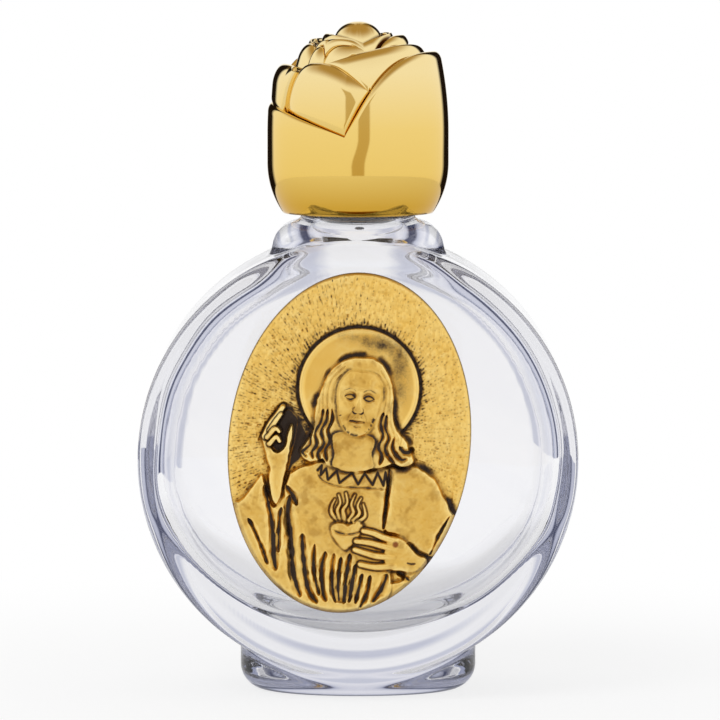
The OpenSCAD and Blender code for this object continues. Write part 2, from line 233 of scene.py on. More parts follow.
# Flint glass, fire polished: colourless and glossy, with the slow waviness that a mould leaves. Its depth
# takes up a little light, least of the blue, so that thick places look cool and grey.
glass, tree, shader, place = new_material("flint_glass_moulded", {
    "Base Color": linear("#FCFCFD"), "IOR": 1.5, "Roughness": 0.015, "Transmission Weight": 1.0})
ripple = add(tree, "ShaderNodeTexNoise", {"in:Scale": 1 / (7 * MM), "in:Detail": 1.0}, {"Vector": place})
bump = add(tree, "ShaderNodeBump", {"in:Strength": 0.05, "in:Distance": 0.4 * MM},
           {"Height": ripple.outputs["Fac"]})
tree.links.new(bump.outputs["Normal"], shader.inputs["Normal"])
depth = add(tree, "ShaderNodeVolumeAbsorption", {"in:Color": linear("#DADAE1"), "in:Density": 26.0})
tree.links.new(depth.outputs["Volume"], tree.nodes["Material Output"].inputs["Volume"])
dress(flask, glass, "bottle", "clear_glass", "glass_flask")

# Rose shell: the outer cap, moulded in plastic as an open rose, vacuum-metallised in gold
# and lacquered. It is pressed over the screw sleeve and turns with it.
CAP_Z = 48.378
ROSE_H, CUP_R, BELLY_H, BASE_R = 19.15, 9.13, 5.0, 7.6
PETAL_ROOT, SWELL_LEVEL = 8.0, 0.95
PETAL_LIP, PETAL_GROOVE, PETAL_GAP, BULGE_H = 0.3, 0.8, 0.08, 1.1
BUD_R, BUD_TIP_R = 2.3, 0.1
# Painted shade in the grooves between the petals: the depth under the outer petal's edge over which it comes
# in, and where it starts and how far it spreads on each lip's inner side.
CREASE_SHADE_H, CREASE_SHADE_FROM, CREASE_SHADE_SPAN = 0.25, 0.1, 0.4
SLEEVE_R, SLEEVE_TOP = 6.98, 59.378
# Rings of petals from the outside inwards: radius, inward bend, swell of each petal's middle, and
# how far and from what height its tip rolls in. Each petal: direction, half angles left and right,
# height of its tip and of its sides, and the fullness of its left and right shoulder.
ROSE_RINGS = [
    (9.13, 0.0135, 0.5, 0.5, 0.8, [
        (70, 79, 77, 16.25, 7.95, 3.1, 3.1), (-115, 72, 106, 11.2, 7.95, 2.0, 2.0),
        (162, 56, 50, 14.2, 7.95, 2.2, 2.2)]),
    (8.85, 0.0085, 0.8, 1.3, 2.0, [
        (-30, 33, 56, 15.25, 9.3, 3.8, 1.85), (140, 50, 44, 14.8, 9.6, 2.6, 2.6),
        (-165, 42, 40, 14.4, 9.6, 2.4, 2.4)]),
    (8.80, 0.0085, 0.5, 1.5, 2.1, [
        (-83, 44, 52, 14.95, 10.5, 3.2, 3.6), (115, 50, 44, 15.2, 10.5, 2.6, 2.6),
        (-175, 44, 46, 15.4, 10.5, 2.6, 2.6)]),
    (8.45, 0.0239, 0.5, 0.6, 0.8, [
        (50, 95, 60, 17.0, 14.3, 1.8, 2.5), (150, 55, 50, 16.5, 14.3, 2.4, 2.4),
        (-140, 45, 40, 16.0, 14.3, 2.4, 2.4)]),
    (7.15, 0.0200, 0.6, 1.1, 1.3, [
        (-10, 32, 26, 16.85, 15.0, 3.2, 3.0), (-48, 14, 12, 16.75, 15.0, 2.5, 2.5),
        (-82, 30, 26, 16.95, 15.0, 3.6, 3.6), (88, 44, 40, 16.9, 15.0, 2.6, 2.6),
        (165, 46, 44, 16.7, 15.0, 2.6, 2.6), (-135, 34, 36, 16.7, 15.0, 2.6, 2.6)]),
    (6.60, 0.0174, 0.5, 0.8, 0.8, [
        (-25, 40, 36, 17.55, 16.2, 3.0, 3.0), (68, 44, 42, 17.85, 16.2, 3.0, 3.0),
        (150, 44, 42, 17.5, 16.2, 2.6, 2.6), (-118, 54, 52, 17.4, 16.2, 2.6, 2.6)]),
    (4.90, 0.0148, 0.4, 0.6, 0.6, [
        (-75, 88, 84, 17.95, 17.1, 2.2, 2.2), (95, 84, 98, 18.05, 17.1, 2.2, 2.2)]),
]
ROSE_COLUMNS = 720
side = np.linspace(0, 360, ROSE_COLUMNS, endpoint=False)


def ease(t):
    # Smooth step from 0 to 1.
    t = np.clip(t, 0, 1)
    return t * t * (3 - 2 * t)


def ring_edge(petals):
    # Upper edge of a ring of petals all round, and how near it is to the middle of a petal.
    edges, swells = [], []
    for middle, left, right, tip, root, left_full, right_full in petals:
        off = (side - middle + 180) % 360 - 180
        across = np.minimum(np.abs(off) / np.where(off < 0, left, right), 1)
        edges.append(root + (tip - root) * (1 - across ** np.where(off < 0, left_full, right_full)))
        swells.append(1 - across**2)
    edges, swells = np.array(edges), np.array(swells)
    top = edges.max(0)
    weight = np.exp((edges - top) * 9)
    return top, (swells * weight).sum(0) / weight.sum(0)


def tucked(full, z, above, wall):
    # A petal's radius: held behind the petal outside it, and free above that one's edge.
    held = np.minimum(full, wall - PETAL_GAP)
    hidden = np.clip(1 - (z - above) / BULGE_H, 0, 1)
    return held + (full - held) * np.sqrt(1 - hidden**2)


def rose_rings():
    # Radius, height and share of painted shade in the grooves, ring by ring from the cup's lower edge to the
    # bud.
    h = np.linspace(0, BELLY_H, 24)[:-1]
    drop = CUP_R - BASE_R
    bow = (drop**2 + BELLY_H**2) / (2 * drop)
    rings = [(np.full(ROSE_COLUMNS, r), np.full(ROSE_COLUMNS, z), 0 * side)
             for r, z in zip(np.sqrt(bow**2 - (BELLY_H - h) ** 2) - bow + CUP_R, h)]
    start = np.full(ROSE_COLUMNS, BELLY_H)
    above, wall = start, start + 60
    for radius, bend, swelling, tuck, tuck_h, petals in ROSE_RINGS:
        edge, swell = ring_edge(petals)
        edge = np.maximum(edge, start + PETAL_LIP)
        free = np.clip((edge - np.maximum(above, PETAL_ROOT)) / tuck_h / 3, 0, 1)

        def face(z):
            lift = swelling * (swell - SWELL_LEVEL) * ease((z - BELLY_H) / (PETAL_ROOT - BELLY_H))
            roll = np.clip(1 - (edge - z) / tuck_h, 0, 1)
            full = radius + lift - bend * np.maximum(0, z - PETAL_ROOT) ** 2
            return tucked(full - tuck * free * (1 - np.sqrt(1 - roll**2)), z, above, wall)

        for t in np.linspace(0, 1, 40):
            z = start + (edge - start) * np.sin(t * math.pi / 2)
            rings.append((face(z), z, np.clip((above - z) / CREASE_SHADE_H, 0, 1)))
        crest = face(edge)
        for a in np.radians([15, 30, 45, 60, 75, 90]):
            sunk = PETAL_LIP * (1 - np.cos(a))
            shade = np.clip((sunk - CREASE_SHADE_FROM) / CREASE_SHADE_SPAN, 0, 1)
            rings.append((crest - PETAL_LIP * np.sin(a), edge - sunk, 0 * side + shade))
        above, wall = edge, crest - PETAL_LIP
        start = np.maximum(edge - PETAL_GROOVE, start + PETAL_LIP / 2)
    for a in np.radians(np.linspace(0, 86, 24)):
        z = start + (ROSE_H - start) * np.sin(a)
        bud = tucked(BUD_R * np.cos(a) + BUD_TIP_R, z, above, wall)
        rings.append((bud, z, np.clip((above - z) / CREASE_SHADE_H, 0, 1)))
    return rings


def cap_ring(r, z):
    # Points round the cap's axis, from the front on.
    turn = np.radians(side)
    return np.stack([r * np.sin(turn), -r * np.cos(turn), 0 * turn + z], -1)


rows = rose_rings()
outside = [cap_ring(r, z + CAP_Z) for r, z, _ in rows]
BORE_ROWS = [
    (0.1, SLEEVE_TOP - 0.001), (SLEEVE_R - 0.05, SLEEVE_TOP), (SLEEVE_R, SLEEVE_TOP - 0.05),
    (SLEEVE_R, CAP_Z + 5), (SLEEVE_R, CAP_Z + 0.2), (SLEEVE_R + 0.15, CAP_Z), (BASE_R - 0.15, CAP_Z),
]
under = [cap_ring(r, z) for r, z in BORE_ROWS]
rose = grid_mesh("rose_cap", np.concatenate([under, outside]))
# Share of painted brown shade in the grooves between the petals, kept on each point.
pooled = np.concatenate([np.zeros(len(under) * ROSE_COLUMNS)] + [shade for _, _, shade in rows] + [[0, 0]])
rose.data.attributes.new("pooled", "FLOAT", "POINT").data.foreach_set("value", pooled)

# Metallised ABS under lacquer: a mirror-bright warm gold with a faint orange-peel skin. Painted light and
# shade: paler at the top, deeper amber at the foot, and brown in the grooves between the petals.
gold, tree, shader, place = new_material("metallised_gold_abs", {"Metallic": 1.0, "Roughness": 0.06})
axes = add(tree, "ShaderNodeSeparateXYZ", {}, {"0": place})
up = add(tree, "ShaderNodeMapRange", {"in:1": CAP_Z * MM, "in:2": (CAP_Z + ROSE_H) * MM},
         {"0": axes.outputs["Z"]})
# Painted light and shade by height: paler towards the top, deeper amber towards the foot.
GOLD_PAINTED_LIGHT_UP = [(0.05, "#D8A93E"), (0.22, "#EBC76A"), (0.45, "#EFCE78"), (0.75, "#F4DDA0")]
painted_light_ramp = add(tree, "ShaderNodeValToRGB", {"stops": GOLD_PAINTED_LIGHT_UP}, {"Fac": up.outputs["Result"]})
crease_shade_node = add(tree, "ShaderNodeAttribute", {"attribute_name": "pooled"})
# Painted shade: brown mixed in along the grooves between the petals.
crease_shaded = add(tree, "ShaderNodeMix", {"data_type": "RGBA", "in:7": linear("#5E3A12")},
              {"0": crease_shade_node.outputs["Fac"], "6": painted_light_ramp.outputs["Color"]})
tree.links.new(crease_shaded.outputs[2], shader.inputs["Base Color"])
peel = add(tree, "ShaderNodeTexNoise", {"in:Scale": 1 / (0.9 * MM), "in:Detail": 2.0}, {"Vector": place})
bump = add(tree, "ShaderNodeBump", {"in:Strength": 0.02, "in:Distance": 0.05 * MM},
           {"Height": peel.outputs["Fac"]})
tree.links.new(bump.outputs["Normal"], shader.inputs["Normal"])
dress(rose, gold, "cap", "gold_metallised", "rose_shell")

# Screw sleeve: a plain white moulded cup inside the rose that carries the inner thread.
# It is pressed into the shell and turns with it.
SLEEVE_LOW, SLEEVE_BORE, LINER_TOP = 48.978, 6.25, 58.178
RIB_TURNS, RIB_HALF, RIB_RISE = 1.6, 0.5, 0.55
rib_z = np.linspace(LINER_TOP, SLEEVE_LOW + 0.2, 110)
rib = thread_bead(rib_z, THREAD_START + THREAD_LEAD / 2, RIB_TURNS, RIB_HALF)
sleeve = grid_mesh("screw_sleeve", np.concatenate([
    round_rings(0.05, [LINER_TOP]),
    round_rings(SLEEVE_BORE - 0.1, [LINER_TOP]),
    round_rings(SLEEVE_BORE - RIB_RISE * rib, rib_z),
    round_rings(SLEEVE_BORE + 0.15, [SLEEVE_LOW]),
    round_rings(SLEEVE_R - 0.18, [SLEEVE_LOW]),
    round_rings(SLEEVE_R - 0.03, [SLEEVE_LOW + 0.15, 55.0, SLEEVE_TOP - 0.2]),
    round_rings(SLEEVE_R - 0.2, [SLEEVE_TOP]),
    round_rings(0.05, [SLEEVE_TOP]),
]))

# Moulded polypropylene: milky white with a soft sheen and a fine moulded grain, which is drawn coarser
# than it is, so that it shows.
plastic, tree, shader, place = new_material("moulded_polypropylene", {
    "Base Color": linear("#EDEBE4"), "Roughness": 0.45, "Subsurface Weight": 0.15,
    "Subsurface Radius": (0.6 * MM, 0.5 * MM, 0.4 * MM)})
skin_grain = add(tree, "ShaderNodeTexNoise", {"in:Scale": 1 / (0.4 * MM)}, {"Vector": place})
bump = add(tree, "ShaderNodeBump", {"in:Strength": 0.15, "in:Distance": 0.05 * MM},
           {"Height": skin_grain.outputs["Fac"]})
tree.links.new(bump.outputs["Normal"], shader.inputs["Normal"])
dress(sleeve, plastic, "cap", "sleeve_plastic", "cap_insert")

# Sealing liner: a disc stamped from closed-cell foam. It lies loose in the top of the sleeve, which
# presses it on the glass rim. Its fine cells give a matt, pale skin.
foam, tree, shader, place = new_material("closed_cell_foam", {
    "Base Color": linear("#F1F0EC"), "Roughness": 0.85})
cells = add(tree, "ShaderNodeTexVoronoi", {"in:Scale": 1 / (0.25 * MM)}, {"Vector": place})
bump = add(tree, "ShaderNodeBump", {"in:Strength": 0.4, "in:Distance": 0.05 * MM},
           {"Height": cells.outputs["Distance"]})
tree.links.new(bump.outputs["Normal"], shader.inputs["Normal"])
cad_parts["cap_liner"].material_slots[0].material = foam

# Plaque: an oval plate die-cast in white metal, gold plated, darkened all over and polished back, so that
# the recesses stay brown; the shine on the raised relief is painted highlight, partly wear. It is glued to
# the panel.
PLAQUE_W, PLAQUE_H = 24.0, 34.0
GROUND, PLAQUE_EDGE = 0.9, 0.4
ROWS, COLS = 520, 380
u, v = np.meshgrid(np.linspace(-1, 1, COLS), np.linspace(-1, 1, ROWS))
px = PLAQUE_W / 2 * u * np.sqrt(1 - v * v / 2)
py = PLAQUE_H / 2 * v * np.sqrt(1 - u * u / 2)
relief = np.zeros(px.shape)
patina = np.zeros(px.shape)


def bump_at(x, y, wide, high):
    # A soft rise of height 1 about a point.
    return np.exp(-(((px - x) / wide) ** 2) - ((py - y) / high) ** 2)


def grain(x, y, seed):
    # Smooth random values, 0 to 1, one per unit cell.
    lattice = np.random.RandomState(seed).rand(256, 256)
    i, j = np.floor(x).astype(int), np.floor(y).astype(int)
    s, t = ease(x - i), ease(y - j)
    low = lattice[i % 256, j % 256] * (1 - s) + lattice[(i + 1) % 256, j % 256] * s
    high = lattice[i % 256, (j + 1) % 256] * (1 - s) + lattice[(i + 1) % 256, (j + 1) % 256] * s
    return low * (1 - t) + high * t


def curve(points, closed=False, steps=6):
    # Smooth line through the points.
    p = np.array(points, float)
    p = np.concatenate([p[-1:], p, p[:2]]) if closed else np.concatenate([p[:1], p, p[-1:]])
    t = np.linspace(0, 1, steps, endpoint=False)[:, None]
    spans = [
        0.5 * (2 * b + (c - a) * t + (2 * a - 5 * b + 4 * c - d) * t**2 + (3 * b - a - 3 * c + d) * t**3)
        for a, b, c, d in zip(p, p[1:], p[2:], p[3:])
    ]
    return np.concatenate(spans + ([] if closed else [p[-1:]]))


def nearest(path, reach, closed=False):
    # Distance from each grid point to a line, positive inside a closed one, and the share along it.
    far, along = np.full(px.shape, -9.0 if closed else 9.0), np.zeros(px.shape)
    low, high = path.min(0) - reach, path.max(0) + reach
    here = (px > low[0]) & (px < high[0]) & (py > low[1]) & (py < high[1])
    x, y = px[here], py[here]
    best, at, inside = np.full(x.shape, 81.0), np.zeros(x.shape), np.zeros(x.shape, bool)
    ends = np.roll(path, -1, 0) if closed else path[1:]
    for k, (a, b) in enumerate(zip(path, ends)):
        e = b - a
        t = np.clip(((x - a[0]) * e[0] + (y - a[1]) * e[1]) / max(e @ e, 1e-12), 0, 1)
        d = (x - a[0] - t * e[0]) ** 2 + (y - a[1] - t * e[1]) ** 2
        at = np.where(d < best, (k + t) / len(path), at)
        best = np.minimum(best, d)
        if closed and a[1] != b[1]:
            inside ^= ((y < a[1]) != (y < b[1])) & (x < a[0] + (y - a[1]) * e[0] / e[1])
    far[here] = np.sqrt(best) * (np.where(inside, 1, -1) if closed else 1)
    along[here] = at
    return far, along


def form(outline, level, crown=0.12, soft=0.3, dark=0.9, line=0.2):
    # A raised mass: a rounded top, and an uneven dark undercut along its outline.
    global relief, patina
    d, _ = nearest(curve(outline, True), 2, True)
    d = d + 0.1 * (grain(px * 2.2, py * 2.2, 21) - 0.5)
    ragged = ease((grain(px * 0.75 + 40, py * 0.75 + 40, 31) - 0.2) / 0.5)
    width = line * (0.35 + 0.9 * ragged) + 0.12 * grain(px * 3.2 + 40, py * 3.2 + 40, 33)
    edge = dark * (0.3 + 0.7 * ragged) * np.exp(-((np.minimum(d + 0.08, 0) / width) ** 2)) * (d < 0.05)
    t = ease(d / soft + 0.35)
    relief = (relief - 0.2 * edge) * (1 - t) + (level + crown * (1 - np.exp(-np.maximum(d, 0) / 1.1))) * t
    patina = np.maximum(patina, edge) * (1 - ease(d / 0.12 + 0.2))
    return d


def groove(points, width, depth=0.32, dark=1.0):
    # A cut that tapers to both ends, darkest along its floor.
    global relief, patina
    d, t = nearest(curve(points), 1.2)
    w = width * (0.25 + 0.75 * np.sqrt(np.clip(np.sin(math.pi * t), 0, 1)))
    w = w * (0.55 + 0.9 * grain(px * 1.1 + 70, py * 0.9 + 70, 34))
    d = d + 0.14 * (grain(px * 3, py * 1.6, 22) - 0.5)
    burr = 0.2 * depth * np.exp(-(((d - 2.6 * w) / w) ** 2))
    relief = relief - depth * np.exp(-((d / (w * 1.5)) ** 2)) + burr
    patina = np.maximum(patina, dark * np.exp(-((d / (w * 0.85)) ** 4)))


def ridge_line(points, width, level, tip=0.75, root=0.0, dark=0.9):
    # A rounded ridge that thins to its tip and grows out of what it stands on at its root.
    global relief, patina
    d, t = nearest(curve(points), 1.2)
    w = width * (1 - (1 - tip) * t)
    top = np.sqrt(np.clip(1 - (d / w) ** 2, 0, 1))
    free = ease((t - root) / 0.25) if root else 1
    edge = np.exp(-((np.maximum(d - w - 0.02, 0) / 0.14) ** 2)) * (d > w * 0.9) * free
    on = ease((w - d) / 0.1 + 0.5)
    crest = level - 0.24 + 0.24 * top
    crest = np.where(t < root + 0.2, np.maximum(crest, relief), crest) if root else crest
    relief = (relief - 0.15 * edge) * (1 - on) + crest * on
    patina = np.maximum(patina, dark * edge) * (1 - on)


# Ground: punched all over, with short strokes raying from the halo.
HALO_X, HALO_Y, HALO_R = 0.35, 5.6, 5.95
FAN_Y = 1.0
ring, ray = np.hypot(px - HALO_X, py - HALO_Y), np.arctan2(py - HALO_Y, px - HALO_X)
near_halo = np.exp(-np.maximum(ring - HALO_R, 0) / 2.2)
leftward = ease((3.5 - px) / 8)
spread, fan = np.hypot(px - HALO_X, py - FAN_Y), np.arctan2(py - FAN_Y, px - HALO_X)


def flecks(lanes, long, wide, share, seed):
    # Short strokes raying outwards, at most one in each cell of a polar grid, at random places in it.
    chance = np.random.RandomState(seed).rand(4, 128, 64)
    lane = fan * lanes / math.pi + lanes
    i = np.floor(lane).astype(int) % 128
    row = spread / (3 * long) + chance[0, i, 0] * 5
    j = np.floor(row).astype(int) % 64
    aside = (lane % 1 - 0.3 - 0.4 * chance[1, i, j]) * spread * math.pi / lanes
    ahead = (row % 1 - 0.35 - 0.3 * chance[2, i, j]) * 3 * long
    size = 0.5 + chance[3, i, j]
    return np.exp(-((aside / wide) ** 2) - (ahead / (long * size)) ** 2) * (chance[3, i, j] > 1 - share)


fine = flecks(lanes=120, long=0.2, wide=0.06, share=0.5, seed=3) * (0.3 + 0.5 * leftward)
coarse = flecks(lanes=76, long=0.3, wide=0.09, share=0.4, seed=5)
coarse = coarse * (0.2 + 0.6 * leftward) * (0.3 + 0.7 * near_halo)
spikes = flecks(lanes=104, long=0.3, wide=0.1, share=0.85, seed=6) * ease((near_halo - 0.5) / 0.3)
strokes = np.clip(fine + coarse + spikes, 0, 1)
punch = grain(px * 4.6 + 300, py * 3.4 + 300, 7)
dots = flecks(lanes=84, long=0.1, wide=0.09, share=0.55, seed=8)
relief += 0.15 * (punch - 0.5) - 0.08 * strokes - 0.06 * dots
patina += 0.62 * strokes + 0.36 * dots

# Halo: a flat burnished disc with a fine bead round it, and a dark smear painted on its face as a
# reflection.
HALO_RISE, BEAD_RISE = 0.16, 0.07
d = HALO_R - ring
fringe = 0.16 + 0.14 * grain(ray * 14 + 90, ring * 2, 11)
edge = np.exp(-((np.minimum(d + 0.16, 0) / fringe) ** 2)) * (d < 0.05)
on = ease(d / 0.1 + 0.5)
bead = BEAD_RISE * np.exp(-(((d - 0.25) / 0.2) ** 2))
relief = (relief - 0.16 * edge) * (1 - on) + (HALO_RISE + bead) * on
# Painted reflection: dark patches on the halo's upper right, carried in the patina.
painted_reflection = bump_at(1.9, 10.2, 1.9, 0.9) + bump_at(4.0, 8.4, 1.0, 1.7) + 0.5 * bump_at(-1.2, 10.6, 2.0, 0.6)
painted_reflection += 0.6 * bump_at(4.5, 5.6, 0.9, 1.7)
painted_reflection *= 0.55 + 0.45 * grain(px * 2.3 + 60, py * 1.6 + 60, 13)
patina = np.maximum(patina, edge) * (1 - on) + 0.75 * painted_reflection * on

# Dress: a wide sleeve, the cloak over the other shoulder and the tunic between, cut by deep folds.
# These outlines and the ones below are in millimetres from the plaque's middle.
SLEEVE = [(-5.4, -3.4), (-5.8, -4.3), (-5.95, -4.7), (-6.2, -6.1), (-6.8, -7.0), (-7.5, -5.8), (-8.2, -4.0),
          (-8.6, -4.35), (-9.3, -5.5), (-10.2, -6.8), (-12.2, -7.8), (-11.3, -11.0), (-8.5, -16.0),
          (-3.6, -18.6), (-0.9, -18.4), (-3.2, -15.6), (-4.2, -13.0), (-4.85, -10.0), (-5.3, -7.9),
          (-4.95, -6.0)]
CLOAK = [(4.2, -1.95), (5.4, -1.85), (6.6, -1.4), (7.6, -1.8), (8.9, -2.6), (9.5, -3.55), (10.3, -4.7),
         (11.06, -5.87), (12.8, -6.9), (11.5, -11.5), (8.0, -16.5), (4.0, -18.5), (3.9, -16.0), (5.4, -13.5),
         (6.9, -12.5), (6.1, -8.9), (4.3, -8.1), (4.27, -5.8), (4.29, -3.8)]
TUNIC = [(-2.4, -2.0), (-3.5, -2.35), (-4.6, -2.75), (-5.4, -3.4), (-5.8, -4.3), (-5.85, -5.6), (-5.4, -7.9),
         (-4.9, -10.1), (-4.3, -13.4), (-3.4, -16.0), (-1.0, -18.2), (2.2, -18.2), (4.0, -17.2),
         (5.6, -14.6), (5.5, -12.1), (4.4, -8.0), (4.28, -4.5), (4.2, -2.0), (1.5, -2.6)]
ARMPIT = [(-5.2, 1.6), (-4.2, 0.3), (-3.9, -0.6), (-4.6, -1.9), (-5.2, -2.6), (-5.75, -3.4), (-5.6, -1.2)]
FOLDS = [
    ([(-7.9, -4.95), (-7.2, -7.1), (-6.65, -9.1), (-6.2, -12.0), (-5.9, -13.1)], 0.3),
    ([(-9.1, -8.5), (-8.15, -10.0), (-7.3, -11.5), (-6.8, -12.6)], 0.18),
    ([(-6.0, -7.0), (-6.05, -9.0), (-5.8, -11.3)], 0.17),
    ([(-5.75, -4.8), (-5.0, -5.75), (-4.5, -6.5)], 0.2),
    ([(-5.3, -5.8), (-5.25, -7.8), (-4.75, -10.0), (-4.1, -13.4), (-3.2, -15.5)], 0.34),
    ([(-3.65, -9.5), (-3.2, -12.1), (-2.45, -14.8), (-1.55, -15.95)], 0.28),
    ([(-2.3, -10.3), (-2.15, -12.7), (-1.4, -15.1)], 0.2),
    ([(-1.2, -10.9), (-1.35, -12.7), (-1.0, -14.9), (-0.65, -15.7)], 0.24),
    ([(-0.3, -11.0), (-0.32, -12.6), (0.0, -14.7), (0.35, -15.7)], 0.2),
    ([(0.45, -11.3), (0.4, -13.5), (0.7, -15.6)], 0.19),
    ([(1.25, -10.9), (1.17, -13.5), (1.18, -15.6)], 0.23),
    ([(1.95, -11.9), (1.85, -13.5), (1.75, -15.5)], 0.23),
    ([(2.7, -12.7), (2.55, -14.2), (2.35, -15.6)], 0.19),
    ([(3.5, -12.8), (3.4, -14.4), (2.9, -16.0)], 0.2),
    ([(5.15, -12.5), (4.85, -13.8), (4.1, -15.3)], 0.28),
    ([(10.7, -6.0), (9.9, -7.9), (9.2, -10.0)], 0.13),
    ([(6.7, -9.2), (7.2, -9.5), (7.95, -10.1), (8.8, -10.35), (9.8, -10.4)], 0.24),
    ([(6.1, -12.25), (6.9, -12.5), (7.4, -12.9)], 0.2),
]
FOLD_SHARE = 0.84
form(SLEEVE, 0.42, dark=0.75)
form(CLOAK, 0.46, crown=0.14, dark=1.0, line=0.36)
form(TUNIC, 0.5, crown=0.1, dark=0.5, line=0.15)
d = form(ARMPIT, -0.02, crown=0, dark=0)
patina = np.maximum(patina, 0.9 * ease(d / 0.25 + 0.3))
for points, width in FOLDS:
    groove(points, FOLD_SHARE * width)

# Collar band with its zigzag, between the tunic and the neck.
top = curve([(-2.55, -2.2), (-2.0, -2.5), (-0.3, -2.65), (1.5, -2.6), (3.3, -2.3), (4.15, -2.1)])
low = curve([(-2.9, -3.1), (-2.2, -3.85), (-0.6, -4.25), (1.7, -4.15), (3.7, -4.05), (4.3, -4.15)])
groove([(4.22, -2.1), (4.28, -3.4), (4.3, -4.7), (4.27, -6.1), (4.27, -7.9)], 0.18)
groove(low[::3], 0.1, depth=0.12, dark=0.7)
zigzag = [low[k] * (0.1 if i % 2 else 0.8) + top[k] * (0.9 if i % 2 else 0.2)
          for i, k in enumerate(np.linspace(0, len(top) - 1, 15).astype(int))]
d, _ = nearest(np.array(zigzag), 1)
relief -= 0.2 * np.exp(-((d / 0.15) ** 2))
patina = np.maximum(patina, np.exp(-((d / 0.13) ** 4)))

# Hair: parted in the middle, falling in long waves that curl out on the shoulders.
HAIR = [(-0.67, 8.6), (-1.54, 8.2), (-2.37, 7.5), (-2.96, 6.6), (-3.3, 5.6), (-3.55, 4.7), (-3.75, 3.6),
        (-3.8, 2.4), (-3.75, 1.3), (-3.95, 0.4), (-4.4, -0.3), (-4.75, -1.2), (-4.5, -1.9), (-3.8, -2.2),
        (-3.0, -2.1), (-2.5, -1.85), (-2.1, -2.3), (-1.2, -2.5), (0.6, -2.6), (2.4, -2.3), (3.5, -2.05),
        (4.1, -1.75), (4.6, -1.5), (5.3, -1.8), (6.1, -1.6), (6.55, -1.1), (6.3, -0.3), (5.9, 0.3),
        (5.7, 0.9), (5.1, 1.5), (4.4, 2.3), (4.0, 3.3), (3.95, 4.4), (3.85, 5.5), (3.5, 6.6), (3.0, 7.6),
        (2.3, 8.4), (1.36, 8.8), (0.2, 8.8)]
LOCKS = [
    [(-0.9, 7.35), (-1.95, 6.2), (-2.2, 4.8), (-2.1, 3.4), (-1.95, 2.3), (-2.25, 1.2), (-1.95, 0.1),
     (-2.3, -0.9), (-2.1, -1.7)],
    [(-1.2, 7.75), (-2.45, 6.2), (-2.7, 4.6), (-2.5, 3.2), (-2.5, 2.1), (-2.9, 1.0), (-2.55, -0.2),
     (-3.0, -1.2), (-2.8, -1.8)],
    [(-1.6, 7.95), (-2.9, 6.3), (-3.15, 4.6), (-2.95, 3.1), (-3.05, 1.9), (-3.5, 0.8), (-3.2, -0.3),
     (-3.6, -1.1), (-3.45, -1.7)],
    [(-3.4, 4.2), (-3.35, 2.8), (-3.6, 1.5), (-3.95, 0.5), (-3.85, -0.4), (-4.25, -0.9), (-4.5, -1.3),
     (-4.2, -1.65)],
    [(1.85, 7.35), (2.85, 6.2), (3.1, 4.8), (3.0, 3.4), (2.85, 2.3), (3.2, 1.2), (2.9, 0.1), (3.3, -0.8),
     (3.2, -1.6)],
    [(2.25, 7.65), (3.25, 6.2), (3.5, 4.6), (3.35, 3.2), (3.35, 2.1), (3.8, 1.0), (3.55, 0.0), (4.0, -0.8),
     (4.5, -1.3)],
    [(3.75, 5.0), (3.7, 3.6), (3.85, 2.4), (4.4, 1.3), (4.25, 0.3), (4.7, -0.5), (5.3, -0.95),
     (5.75, -0.8)],
    [(4.05, 3.2), (4.55, 2.0), (5.05, 1.1), (4.95, 0.3), (5.45, -0.2), (5.95, -0.15), (6.15, 0.1)],
]
form(HAIR, 0.6, crown=0.16, line=0.3)
for lock in LOCKS:
    groove(lock[:4], 0.09, depth=0.1, dark=0.3)
    groove(lock[3:], 0.17, depth=0.28)
for x, y in ((-4.15, -1.35), (5.75, -1.15), (-3.0, -1.75)):
    relief += 0.12 * bump_at(x, y, 0.28, 0.28)

# Neck: a plain round form between the locks.
NECK = [(-1.5, 1.0), (-1.4, -1.2), (-1.3, -2.4), (0.6, -2.75), (2.55, -2.2), (2.3, -0.8), (2.2, 1.0)]
form(NECK, 0.5, dark=0.8, line=0.14)

# Face: a plain calm one of common proportions, with lowered lids and a short beard.
FACE_X, CHIN, BROW, EYES, NOSE, MOUTH = 0.48, 0.75, 5.45, 4.75, 3.2, 2.35
fx = px - FACE_X


def beside(s, points):
    # Points given from the face's middle line, on its side s.
    return [(FACE_X + s * a, b) for a, b in points]


oval = [(0, CHIN), (0.75, 0.9), (1.35, 1.45), (1.85, 2.4), (2.15, 3.6), (2.3, 4.8), (2.2, 5.9), (1.8, 6.8),
        (1.0, 7.4)]
d = form(beside(1, oval) + beside(-1, oval[:0:-1]), 0.6, crown=0.0, soft=0.25, dark=0.55, line=0.13)
skin = ease(d / 0.3)
dome = 0.26 * np.sqrt(np.clip(1 - (fx / 2.55) ** 2 - ((py - 4.1) / 3.75) ** 2, 0, 1))
mould = 0.0 * px
for s in (-1, 1):
    mould -= 0.17 * bump_at(FACE_X + s * 0.92, EYES + 0.05, 0.62, 0.45)
    mould += 0.08 * bump_at(FACE_X + s * 1.3, 3.75, 0.7, 0.7)
    mould -= 0.06 * bump_at(FACE_X + s * 1.35, 2.6, 0.45, 0.7)
    mould += 0.08 * bump_at(FACE_X + s * 0.95, BROW + 0.12, 0.8, 0.2)
    mould += 0.12 * bump_at(FACE_X + s * 0.3, NOSE + 0.18, 0.18, 0.19)
ridge = ease((BROW + 0.15 - py) / 0.5) * ease((py - NOSE + 0.05) / 0.2)
bridge = (BROW - py) / 2.2
mould += (0.14 + 0.16 * ease(bridge)) * ridge * np.exp(-((fx / (0.22 + 0.09 * bridge)) ** 2))
mould += 0.1 * bump_at(FACE_X, MOUTH + 0.2, 0.6, 0.14) + 0.12 * bump_at(FACE_X, MOUTH - 0.24, 0.5, 0.16)
mould += 0.1 * bump_at(FACE_X, 1.35, 0.7, 0.45)
relief += (dome + mould) * skin
